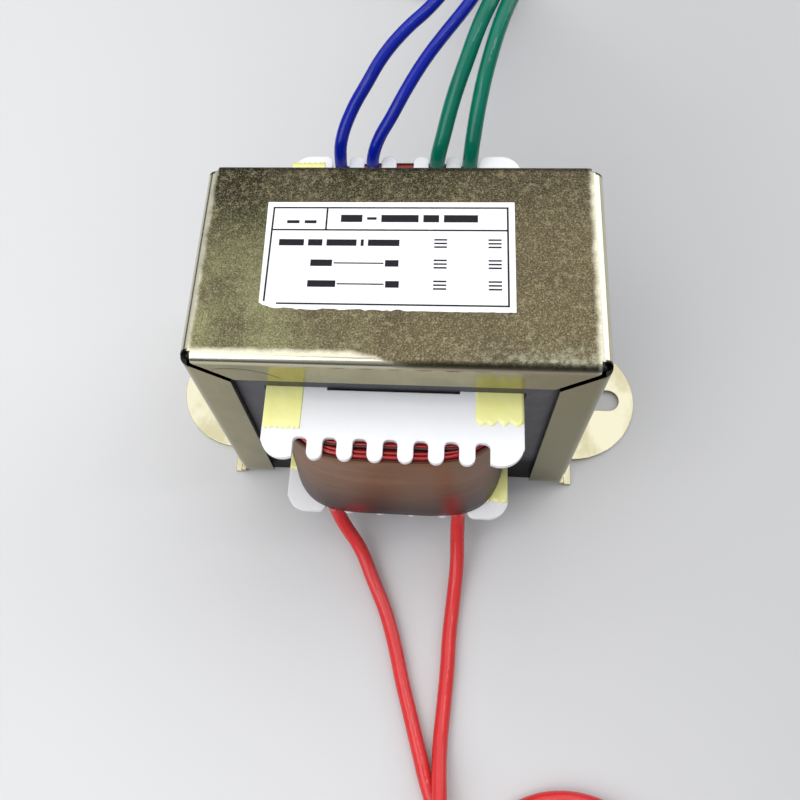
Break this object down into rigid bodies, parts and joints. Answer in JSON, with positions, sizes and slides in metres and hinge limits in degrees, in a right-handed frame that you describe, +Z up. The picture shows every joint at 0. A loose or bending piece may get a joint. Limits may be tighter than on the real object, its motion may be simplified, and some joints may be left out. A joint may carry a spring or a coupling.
{
  "type": "laminated chassis transformer",
  "caption": "Laminated mains transformer: EI steel core in a folded channel frame with slotted feet, comb-flange bobbin with film-wrapped windings, and free insulated leads.",
  "frame": {"origin": "middle of the frame's footprint, on the surface that the feet stand on", "axes": "+X along the frame through both slotted feet, -Y towards the face where the two red leads come out, +Z up to the labelled top"},
  "size_m": [0.1017, 0.2796, 0.063],
  "materials": {
    "zinc_steel": "olive yellow passivated zinc, mottled on the flat faces, smooth on the bends",
    "silicon_steel": "varnished sheet edges, dull",
    "nylon": "satin moulded white",
    "copper_wire": "enamelled copper",
    "red_enamel_wire": "glossy red enamel",
    "yellow_tape": "thin polyester tape, slightly translucent",
    "brown_film": "brown translucent film, satin",
    "label_paper": "white coated paper",
    "red_pvc": "glossy PVC",
    "blue_pvc": "glossy PVC",
    "green_pvc": "glossy PVC",
    "tie_film": "nylon tie",
    "tinned_copper": "tinned strands"
  },
  "bodies": {
    "root": {"frame": "zinc_steel", "e_laminations": "silicon_steel", "i_laminations": "silicon_steel", "bobbin": "nylon", "primary_winding": "copper_wire", "primary_insulation": "yellow_tape", "secondary_winding_main": "copper_wire", "secondary_insulation": "yellow_tape", "secondary_winding_low": "red_enamel_wire", "outer_wrap": "brown_film", "tape_top_left": "yellow_tape", "tape_top_right": "yellow_tape", "tape_bottom_left": "yellow_tape", "tape_bottom_right": "yellow_tape", "label": "label_paper", "red_lead_left": "red_pvc", "red_lead_right": "red_pvc", "blue_lead_outer": "blue_pvc", "blue_lead_inner": "blue_pvc", "green_lead_inner": "green_pvc", "green_lead_outer": "green_pvc", "red_lead_coil": "red_pvc", "secondary_lead_coil": "blue_pvc", "red_tie": "tie_film", "secondary_tie": "tie_film", "red_tinned_ends": "tinned_copper", "blue_tinned_ends": "tinned_copper", "green_tinned_ends": "tinned_copper"}
  },
  "joints": []
}
